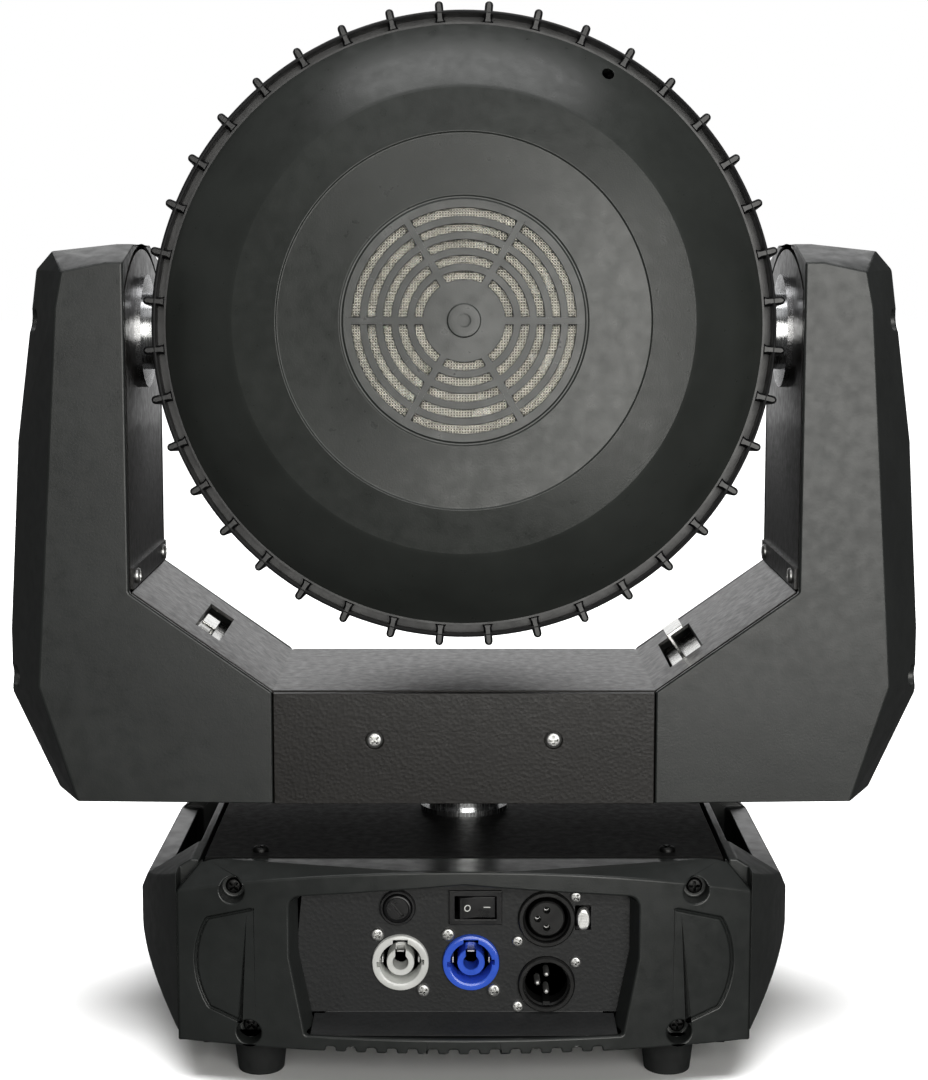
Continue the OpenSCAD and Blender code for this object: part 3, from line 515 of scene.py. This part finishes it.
def solids_of(node):
    """Corner points of each separate solid in a CAD node."""
    mesh = frame["nodes"][node].data
    keys, points = {}, []
    index = []
    for v in mesh.vertices:
        key = tuple(round(c, 6) for c in v.co)
        if key not in keys:
            keys[key] = len(points)
            points.append(v.co.copy())
        index.append(keys[key])
    root = list(range(len(points)))

    def find(k):
        while root[k] != k:
            root[k] = root[root[k]]
            k = root[k]
        return k

    for a, b in ((index[e.vertices[0]], index[e.vertices[1]]) for e in mesh.edges):
        root[find(a)] = find(b)
    groups = {}
    for k, point in enumerate(points):
        groups.setdefault(find(k), []).append(point)
    return [groups[k] for k in sorted(groups)]


# ------------------------------------------------------------------ screws

def screw_places(node):
    """Seat of each screw's head in a CAD node, the way out, and the head's radius and height."""
    places = []
    for points in solids_of(node):
        best = None
        for axis in range(3):
            others = [k for k in range(3) if k != axis]
            for sign in (1, -1):
                end = max(sign * p[axis] for p in points)
                tip = min(sign * p[axis] for p in points)
                spread = [max(p[k] for p in points if abs(sign * p[axis] - at) < 2e-5)
                          - min(p[k] for p in points if abs(sign * p[axis] - at) < 2e-5)
                          for at in (end, tip) for k in others]
                gain = min(spread[:2]) - max(spread[2:])
                if best is None or gain > best[0]:
                    best = (gain, axis, sign, end, max(spread[:2]) / 2, others)
        gain, axis, sign, end, radius, others = best
        rim = [sign * p[axis] for p in points
               if abs(math.hypot(*(p[k] - middle(points, k) for k in others)) - radius) < 1e-4]
        seat = min(rim)
        spot = [middle(points, k) for k in range(3)]
        spot[axis] = sign * seat
        out = [0.0, 0.0, 0.0]
        out[axis] = float(sign)
        places.append((spot, out, radius / MM, (end - seat) / MM))
    return places


def middle(points, k):
    return (max(p[k] for p in points) + min(p[k] for p in points)) / 2


def phillips(radius, height):
    """Flat-topped screw head with a tapered cross recess, seat at Z = 0, and a short shank."""
    profile = [(0.0, height), (0.7 * radius, height), (0.84 * radius, 0.9 * height),
               (0.95 * radius, 0.68 * height), (radius, 0.4 * height), (radius, 0.0),
               (0.5 * radius, 0.0), (0.5 * radius, -2.0), (0.0, -2.0)]
    w, l = 0.17 * radius, 0.68 * radius
    cross = [(w, w), (l, w), (l, -w), (w, -w), (w, -l), (-w, -l), (-w, -w), (-l, -w), (-l, w),
             (-w, w), (-w, l), (w, l)]
    recess = prism([(-0.74 * x, 0.74 * y) for x, y in cross], -0.9, height + 0.2, 1.35)
    return combine(lathe(profile, 32), [recess])


def add_screws(name, node, slot, body, twist=23.0):
    places = screw_places(node)
    heads = []
    for number, (spot, out, radius, height) in enumerate(places):
        bm = phillips(radius, height)
        bm.transform(turn("Z", twist * (number + 1)))
        bm.transform(Matrix.Scale(1 / MM, 4) @ facing(spot, out) @ Matrix.Scale(MM, 4))
        heads.append(bm)
    piece(name, joined(*heads), slot, body, nodes=[node], sharp=40)


# ------------------------------------------------------------------ head

HEAD_AXIS = JOINTS["fan_spin"]["axis"]
HEAD = (Matrix.Translation(JOINTS["tilt"]["pos_m"])
        @ Matrix.Rotation(math.atan2(-HEAD_AXIS[1], HEAD_AXIS[2]), 4, "X"))
RIB_COUNT = 40


def along_head(node):
    """Lowest and highest place of a CAD node along the head's own axis, in millimetres."""
    back = HEAD.inverted()
    heights = [(back @ v.co).z / MM for v in frame["nodes"][node].data.vertices]
    return min(heights), max(heights)


def reach(node):
    """Largest radius of a CAD node round the head's own axis, in millimetres."""
    back = HEAD.inverted()
    return max(math.hypot((back @ v.co).x, (back @ v.co).y) for v in frame["nodes"][node].data.vertices) / MM


# Shoulder of the rear cover: radius of its arc, and its slope at the rim and at the crease
SHOULDER_R, RIM_SLOPE, CREASE_SLOPE = 124.1, radians(51.2), radians(32)
# Rings of slots in the grille: how many, the first one's radius, their pitch and width, and the bars
SLOT_RINGS, SLOT_R0, SLOT_PITCH, SLOT_W, SLOT_BAR = 5, 18.6, 6.45, 3.3, 3.2


def slot_outline(radius):
    """One sixth of a ring slot, between two of the grille's straight bars."""
    points = []
    for r, order in ((radius + SLOT_W / 2, 1), (radius - SLOT_W / 2, -1)):
        first = math.asin(SLOT_BAR / 2 / r)
        arc = [first + (radians(60) - 2 * first) * k / 10 for k in range(11)]
        points += [(r * cos(a), r * sin(a)) for a in arc[::order]]
    return points


def add_rear_cover():
    """Domed shell: shoulder, crease, shallow face with a step and a groove, and the slots."""
    low, top = along_head("rear_cover")
    rim = reach("rear_cover")
    base = low + 6
    crease, crease_z, wall = rim - 31, top - 8.5, 2.5

    def shoulder(inset, steps):
        """Arc from the rim up to the crease, inset under the skin."""
        arc = [RIM_SLOPE + (CREASE_SLOPE - RIM_SLOPE) * k / steps for k in range(steps + 1)]
        return [(crease + SHOULDER_R * (sin(a) - sin(CREASE_SLOPE)) - inset * sin(a),
                 crease_z + SHOULDER_R * (cos(a) - cos(CREASE_SLOPE)) - inset * cos(a)) for a in arc]

    profile = shoulder(0, 20) + [(crease - 0.3, crease_z + 0.08)]
    profile += [(78, top - 4.8), (77.6, top - 4.7), (77.3, top - 5.0), (77, top - 5.35),
                (76.4, top - 5.3), (51.2, top - 1.72), (50.8, top - 2.2), (50, top - 2.2),
                (49.6, top - 1.55), (30, top - 0.95), (3.05, top), (3.05, top - wall)]
    profile += [(50.4, top - 1.6 - wall), (77, top - 5.4 - wall)] + shoulder(wall, 12)[:1:-1]
    profile += [(122.3, base + 1.7), (122.3, low), (124.8, low), (124.8, base), (rim - 0.2, base)]
    shell = lathe(profile, 192, closed=True)
    slots = [prism(slot_outline(SLOT_R0 + SLOT_PITCH * k), top - 12, top + 5) for k in range(SLOT_RINGS)]
    slots = [copied(bm, [turn("Z", 60 * k) for k in range(6)]) for bm in slots]
    hole = moved(lathe([(0, low), (2.6, low), (2.6, top), (0, top)], 32),
                 turn("Z", 60) @ move(rim - 6, 0, 0))
    boss = lathe([(2, top - 12), (4, top - 12), (4, top - 5.2), (2, top - 5.2)], 32, closed=True)
    bosses = copied(boss, [turn("Z", 45 + 90 * k) @ move(58, 0, 0) for k in range(4)])
    piece("rear_cover_shell", joined(combine(shell, [*slots, hole]), bosses), "head_plastic", "head",
          HEAD, ["rear_cover"], edge=0.25, sharp=24)


def add_head_ring():
    """Ring round the head with rounded ribs, and the flanges that carry the heat sink and lenses."""
    front, rear = along_head("head_ring")
    rim = reach("rear_cover")
    tip = reach("head_ring")
    wall = tip - 4.0
    ring = lathe([(125, front), (wall, front), (wall, rear - 0.8), (wall - 0.3, rear - 0.2),
                  (wall - 0.9, rear), (wall - 1.5, rear - 0.4), (wall - 1.5, rear - 9),
                  (rim + 0.7, rear - 9), (rim + 0.7, rear), (125, rear)], 240, closed=True)
    holes = [moved(lathe([(0, 100), (17.05, 100), (17.05, 160), (0, 160)], 64),
                   turn("Y", 90 + 180 * k)) for k in range(2)]
    ring = combine(ring, holes)
    half_root, half, nose = 2.5, 1.75, 1.7
    outline = [(rim + 0.5, -half_root), (rim + 2.2, -half), (tip - nose, -half)]
    outline += [(tip - nose + nose * cos(a), half * sin(a)) for a in
                [radians(d) for d in (-67, -45, -22, 0, 22, 45, 67)]]
    outline += [(tip - nose, half), (rim + 2.2, half), (rim + 0.5, half_root)]
    rib = prism(outline, rear - 26, rear - 1.4)
    cap = prism(outline, rear - 1.4, rear - 0.1)
    centre = (rim + tip) / 2
    for v in cap.verts:
        if v.co.z > rear - 1:
            v.co.x = centre + (v.co.x - centre) * 0.84
            v.co.y *= 0.5
    rib = joined(rib, cap)
    bmesh.ops.remove_doubles(rib, verts=rib.verts, dist=0.001)
    inner = [f for f in rib.faces if all(abs(v.co.z - (rear - 1.4)) < 0.01 for v in f.verts)]
    bmesh.ops.delete(rib, geom=inner, context="FACES_ONLY")
    ribs = copied(rib, [turn("Z", (k + 0.5) * 360 / RIB_COUNT) for k in range(RIB_COUNT)])
    flanges = joined(
        lathe([(114, -34), (125.2, -34), (125.2, -30), (114, -30)], 160, closed=True),
        lathe([(120.5, -49), (125.2, -49), (125.2, -46), (120.5, -46)], 160, closed=True))
    piece("head_ring_ribbed", joined(ring, ribs, flanges), "ring_plastic", "head", HEAD,
          ["head_ring"], sharp=32)


def add_wire_mesh():
    """Plain weave of steel wire behind the grille, in a flat rim."""
    low, high = along_head("fan_mesh")
    level = (low + high) / 2
    rim = reach("fan_mesh")
    pitch, wire = 1.15, 0.23
    count = int((rim - 1.2) / pitch)
    bm = bmesh.new()
    for across in (False, True):
        for i in range(-count, count + 1):
            reach_j = int(math.sqrt(max((rim - 1.0) ** 2 - (i * pitch) ** 2, 0)) / pitch)
            rings = []
            for j in range(-reach_j, reach_j + 1):
                side = 1 if (i + j) % 2 else -1
                z = level + (side if across else -side) * wire
                rings.append([bm.verts.new((i * pitch + dx, j * pitch, z + dz) if across
                                           else (j * pitch, i * pitch + dx, z + dz))
                              for dx, dz in ((wire, 0), (0, wire), (-wire, 0), (0, -wire))])
            for a, b in zip(rings, rings[1:]):
                for k in range(4):
                    n = (k + 1) % 4
                    bm.faces.new((a[k], a[n], b[n], b[k]))
            if len(rings) > 1:
                bm.faces.new(rings[0])
                bm.faces.new(rings[-1])
    hoop = lathe([(rim - 2, low), (rim - 0.1, low), (rim - 0.1, high), (rim - 2, high)], 96, closed=True)
    piece("fan_wire_mesh", joined(bm, hoop), "wire_mesh", "head", HEAD, ["fan_mesh"], sharp=60)


def add_centre_cap():
    """Flat plug in the middle of the grille, with a shallow dimple."""
    low, high = along_head("centre_cap")
    r = 7.0
    cap = lathe([(0, high - 0.14), (2.1, high - 0.14), (2.5, high - 0.1), (2.8, high - 0.02),
                 (3.1, high), (r - 0.6, high), (r - 0.35, high - 0.04), (r - 0.1, high - 0.22),
                 (r, high - 0.5), (r, high - 1.55), (3, high - 1.55), (3, low), (0, low)], 64)
    piece("grille_centre_cap", cap, "head_plastic", "head", HEAD, ["centre_cap"])


# ------------------------------------------------------------------ connectors

def socket_barrel(outer, inner, depth, cavity):
    """Barrel of a chassis socket, its face at Z = 0, with rounded lips and a blind cavity."""
    return lathe([(0, -cavity), (inner, -cavity), (inner, -0.7), (inner + 0.25, -0.2),
                  (inner + 0.8, 0), (outer - 0.8, 0), (outer - 0.25, -0.2), (outer, -0.7),
                  (outer, -depth), (0, -depth)], 96)


def add_power_socket(name, mount, node, slot):
    """Locking mains socket: a keyed barrel on a flange, and a split shroud round its contacts."""
    spot = MOUNTS[mount]["pos_m"]
    place = rear_face(spot)
    inner, outer, cavity = 8.6, 11.8, 13.0
    shell = combine(socket_barrel(outer, inner, 26, cavity), [
        box_mesh(-3.1, 3.1, 0, inner + 1.4, -9, 1),
        box_mesh(-inner - 1.3, 0, -1.6, 0.6, -9, 1),
        box_mesh(0, inner + 1.3, -0.6, 1.6, -9, 1),
        lathe([(0, -11), (inner, -11), (inner, 2), (0, 2)], 64),
    ])
    flange = combine(box_mesh(-13, 13, -15.5, 15.5, -5.1, -3.55),
                     [lathe([(0, -8), (outer - 0.05, -8), (outer - 0.05, 0), (0, 0)], 64)])
    shroud = lathe([(3.2, -12.9), (5.7, -12.9), (5.7, -1.7), (5.45, -1.3), (3.45, -1.3),
                    (3.2, -1.7)], 64, closed=True)
    shroud = combine(shroud, [box_mesh(-2.2, 2.2, 0, 8, -11, 1)])
    piece(name, joined(shell, flange, shroud), slot, "base", place, [node], sharp=30)
    contact = joined(
        box_mesh(-1.5, 1.5, 3.7, 4.3, -12.8, -4.0),
        box_mesh(-7.9, -7.2, -1.2, 1.2, -12.8, -5.0),
        box_mesh(7.2, 7.9, -1.2, 1.2, -12.8, -5.0))
    piece(name + "_contacts", contact, "latch_steel", "base", place, edge=0.15)


def add_data_socket(name, mount, node, female):
    """Three-pole socket: an insert with holes if female, else three pins and a key."""
    spot = MOUNTS[mount]["pos_m"]
    place = rear_face(spot)
    outer, inner, cavity = 11.8, 9.6, 15.0
    barrel = lathe([(0, -cavity), (8.9, -cavity), (8.9, -3.2), (inner, -2.6), (inner, -0.5),
                    (inner + 0.4, 0), (outer - 0.5, 0), (outer, -0.5), (outer, -22),
                    (0, -22)], 96)
    flange = combine(box_mesh(-15.5, 15.5, -13, 13, -5.1, -3.55),
                     [lathe([(0, -8), (outer - 0.05, -8), (outer - 0.05, 0), (0, 0)], 64)])
    pins = [turn("Z", a) @ move(3.7, 0, 0) for a in (90, 180, 270)]
    if female:
        insert = lathe([(0, -1.4), (6.9, -1.4), (7.5, -1.9), (7.5, -14.9), (0, -14.9)], 64)
        holes = copied(lathe([(0, -12), (1.15, -12), (1.15, -2.0), (1.6, -1.2), (1.6, 0), (0, 0)], 24), pins)
        insert = combine(insert, [holes])
        piece(name, joined(barrel, flange, insert), "socket_plastic", "base", place, [node], sharp=30)
        sleeves = copied(lathe([(0.8, -11.8), (1.1, -11.8), (1.1, -5.0), (0.8, -5.0)], 24,
                               closed=True), pins)
        piece(name + "_sleeves", sleeves, "latch_steel", "base", place)
    else:
        key = box_mesh(-1.4, 1.4, -9.0, -7.4, -14.8, -1.4)
        piece(name, joined(barrel, flange, key), "socket_plastic", "base", place, [node], sharp=30)
        pin = lathe([(0, -2.6), (0.6, -2.7), (1.0, -3.1), (1.2, -3.8), (1.2, -14.9), (0, -14.9)], 24)
        piece(name + "_pins", copied(pin, pins), "latch_steel", "base", place)


def add_latch():
    """Oval push latch with faint ridges for the thumb."""
    low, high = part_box("data_latch")
    spot = [(low.x + high.x) / 2, low.y, (low.z + high.z) / 2]
    wide, tall = (high.x - low.x) / MM / 2, (high.z - low.z) / MM / 2
    deep = (high.y - low.y) / MM
    rows = []
    for scale, level in ((1.0, -deep), (1.0, -0.9), (0.93, -0.35), (0.8, 0.0)):
        rows.append([(wide * scale * math.copysign(abs(cos(a)) ** 0.75, cos(a)),
                      tall * scale * sin(a), level)
                     for a in [2 * pi * k / 48 for k in range(48)]])
    bm = bmesh.new()
    rings = [[bm.verts.new(c) for c in row] for row in rows]
    for a, b in zip(rings, rings[1:]):
        for k in range(48):
            n = (k + 1) % 48
            bm.faces.new((a[k], a[n], b[n], b[k]))
    bm.faces.new(rings[0][::-1])
    bm.faces.new(rings[-1])
    ridges = [box_mesh(-1.7, 1.7, y - 0.12, y + 0.12, -0.1, 1) for y in (-2.4, -1.2, 0, 1.2, 2.4)]
    piece("data_latch_button", combine(bm, ridges), "latch_steel", "data_latch",
          rear_face(spot), ["data_latch"], sharp=30)


def add_fuse():
    """Collar of the fuse holder, and its cap with a slot and arrow marks."""
    low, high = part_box("fuse_holder")
    x, z = (low.x + high.x) / 2, (low.z + high.z) / 2
    r = (high.x - low.x) / MM / 2
    deep = (high.y - low.y) / MM
    collar = lathe([(r - 1.6, -17), (r - 1.6, -0.5), (r - 1.2, 0), (r - 0.5, 0), (r - 0.1, -0.3),
                    (r, -0.9), (r, -2.2), (r - 0.9, -2.2), (r - 0.9, -deep), (0.0, -deep),
                    (0.0, -17)], 72, closed=True)
    piece("fuse_holder_collar", collar, "switch_plastic", "base",
          rear_face((x, low.y, z)), ["fuse_holder"], sharp=30)
    low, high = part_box("fuse_cap")
    r = (high.x - low.x) / MM / 2
    deep = (high.y - low.y) / MM
    cap = lathe([(0, -0.35), (r - 1.3, -0.35), (r - 0.9, 0), (r - 0.4, -0.15), (r, -0.7),
                 (r, -deep), (0, -deep)], 72)
    slot = moved(box_mesh(-3.8, 3.8, -0.75, 0.75, -2.2, 1), turn("Z", -50))
    arrow = copied(prism([(-1.0, 2.4), (1.0, 2.4), (0.0, 4.1)], -0.9, 1),
                   [turn("Z", a) for a in (20, 85, 200)])
    piece("fuse_cap_slotted", combine(cap, [slot, arrow]), "switch_plastic", "fuse_cap",
          rear_face((x, low.y, z)), ["fuse_cap"], sharp=30)


def add_switch():
    """Rocker with a ring and a bar inlaid in its face."""
    pivot = JOINTS["switch_press"]["pos_m"]
    place = Matrix.Translation(pivot) @ turn("Z", 9.0) @ turn("X", 90)
    side = [(-7.5, 5.2), (-7.1, 5.5), (0, 4), (7.1, 5.5), (7.5, 5.2), (7.5, 1), (3, -5), (-3, -5),
            (-7.5, 1)]
    body = moved(prism(side, -4.5, 4.5), turn("X", 90))
    piece("switch_rocker_face", body, "switch_plastic", "switch_rocker", place,
          ["switch_rocker"], edge=0.3)
    lean = math.degrees(math.atan2(1.5, 7.1))
    ring = moved(lathe([(1.0, -0.3), (1.45, -0.3), (1.45, 0.05), (1.0, 0.05)], 40, closed=True),
                 move(-4.2, 0, 4.89) @ turn("Y", lean))
    bar = moved(box_mesh(-1.4, 1.4, -0.22, 0.22, -0.3, 0.05), move(4.0, 0, 4.85) @ turn("Y", -lean))
    piece("switch_rocker_marks", joined(ring, bar), "white_plastic", "switch_rocker", place)


# ------------------------------------------------------------------ menu

def add_menu_arrows():
    """A plain arrow, just proud of each menu button: left, down, up, right."""
    arrow = [(-1.5, -1.1), (1.5, -1.1), (0.0, 1.5)]
    for number, degrees in enumerate((90, 180, 0, -90), start=1):
        button = f"menu_button_{number}"
        low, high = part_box(button)
        spot = ((low.x + high.x) / 2, high.y, (low.z + high.z) / 2)
        place = Matrix.Translation(spot) @ turn("Z", 180) @ turn("X", 90) @ turn("Z", degrees)
        piece(button + "_arrow", prism(arrow, -0.1, 0.04), "white_plastic", button, place)


add_camera()
add_studio()
MATERIALS = make_materials()
dress_cad_nodes(MATERIALS)
add_rear_cover()
add_head_ring()
add_wire_mesh()
add_centre_cap()
add_power_socket("power_in_inlet", "power_in", "power_in_socket", "blue_plastic")
add_power_socket("power_out_outlet", "power_out", "power_out_socket", "white_plastic")
add_data_socket("data_in_inlet", "data_in", "data_in_socket", False)
add_data_socket("data_out_outlet", "data_out", "data_out_socket", True)
add_latch()
add_fuse()
add_switch()
add_menu_arrows()
add_screws("base_screw_heads", "base_screws", "black_screw", "base")
add_screws("panel_screw_heads", "panel_screws", "plated_screw", "base")
add_screws("yoke_screw_heads", "yoke_screws", "plated_screw", "yoke")
